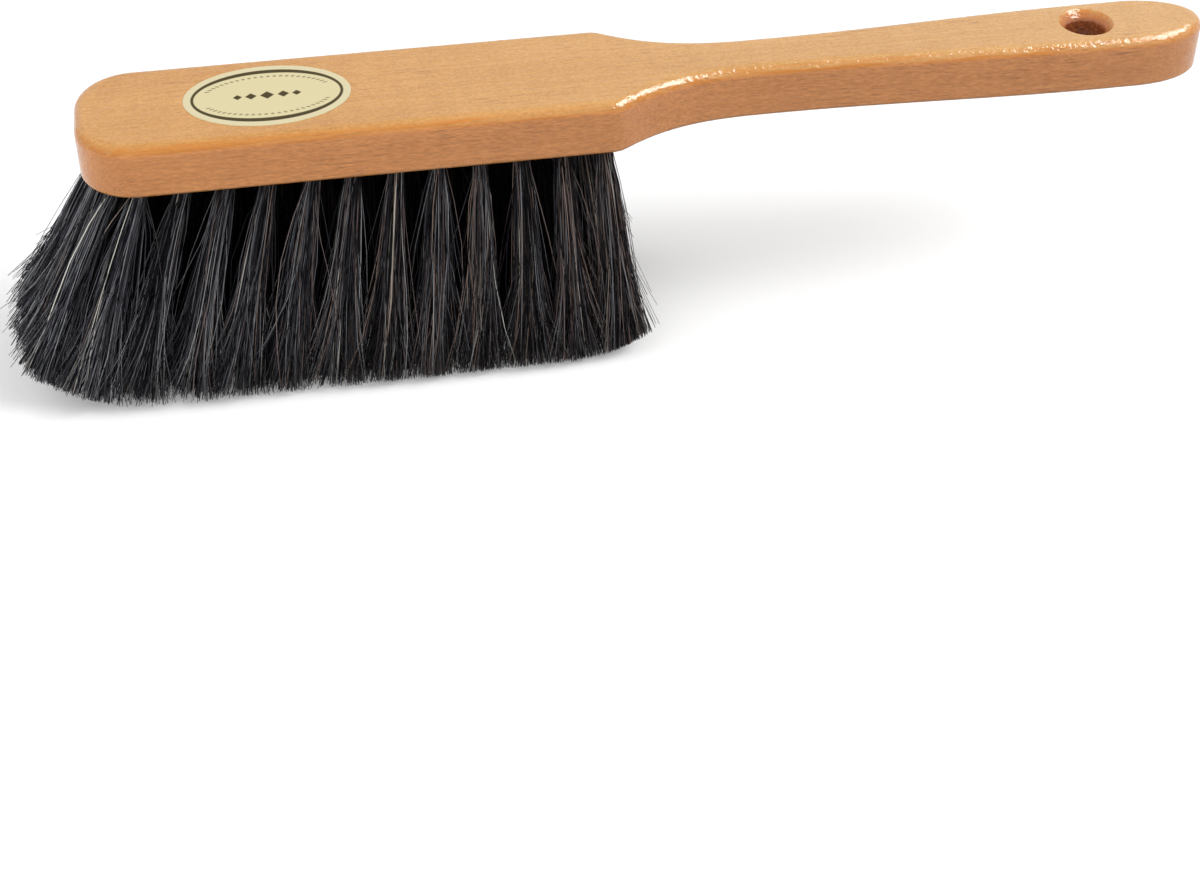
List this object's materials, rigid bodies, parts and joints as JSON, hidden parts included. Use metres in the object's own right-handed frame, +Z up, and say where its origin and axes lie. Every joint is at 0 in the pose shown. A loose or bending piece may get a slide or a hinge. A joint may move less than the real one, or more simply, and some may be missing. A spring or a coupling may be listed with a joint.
{
  "type": "hand brush",
  "caption": "Wooden hand brush with a lacquered beech stock, black horsehair tufts fanned forward for sweeping dust, an oval label on top and a hanging hole.",
  "frame": {"origin": "middle of the brush's footprint, on the surface that the bristle tips stand on", "axes": "+X along the brush from its front to the handle end, +Z up through the back of the head, -Y the side that faces the camera in the picture"},
  "size_m": [0.327, 0.0572, 0.0765],
  "materials": {
    "beech": "clear gloss lacquer",
    "label_paper": "lacquered over",
    "anchor_wire": "drawn wire",
    "horsehair": "natural hair sheen"
  },
  "bodies": {
    "root": {"stock": "beech", "label": "label_paper", "anchors": "anchor_wire", "left_outer_tuft_01": "horsehair", "left_outer_tuft_02": "horsehair", "left_outer_tuft_03": "horsehair", "left_outer_tuft_04": "horsehair", "left_outer_tuft_05": "horsehair", "left_outer_tuft_06": "horsehair", "left_outer_tuft_07": "horsehair", "left_outer_tuft_08": "horsehair", "left_outer_tuft_09": "horsehair", "left_outer_tuft_10": "horsehair", "left_outer_tuft_11": "horsehair", "left_outer_tuft_12": "horsehair", "left_outer_tuft_13": "horsehair", "right_outer_tuft_01": "horsehair", "right_outer_tuft_02": "horsehair", "right_outer_tuft_03": "horsehair", "right_outer_tuft_04": "horsehair", "right_outer_tuft_05": "horsehair", "right_outer_tuft_06": "horsehair", "right_outer_tuft_07": "horsehair", "right_outer_tuft_08": "horsehair", "right_outer_tuft_09": "horsehair", "right_outer_tuft_10": "horsehair", "right_outer_tuft_11": "horsehair", "right_outer_tuft_12": "horsehair", "right_outer_tuft_13": "horsehair", "left_middle_tuft_01": "horsehair", "left_middle_tuft_02": "horsehair", "left_middle_tuft_03": "horsehair", "left_middle_tuft_04": "horsehair", "left_middle_tuft_05": "horsehair", "left_middle_tuft_06": "horsehair", "left_middle_tuft_07": "horsehair", "left_middle_tuft_08": "horsehair", "left_middle_tuft_09": "horsehair", "left_middle_tuft_10": "horsehair", "left_middle_tuft_11": "horsehair", "left_middle_tuft_12": "horsehair", "right_middle_tuft_01": "horsehair", "right_middle_tuft_02": "horsehair", "right_middle_tuft_03": "horsehair", "right_middle_tuft_04": "horsehair", "right_middle_tuft_05": "horsehair", "right_middle_tuft_06": "horsehair", "right_middle_tuft_07": "horsehair", "right_middle_tuft_08": "horsehair", "right_middle_tuft_09": "horsehair", "right_middle_tuft_10": "horsehair", "right_middle_tuft_11": "horsehair", "right_middle_tuft_12": "horsehair"}
  },
  "joints": []
}
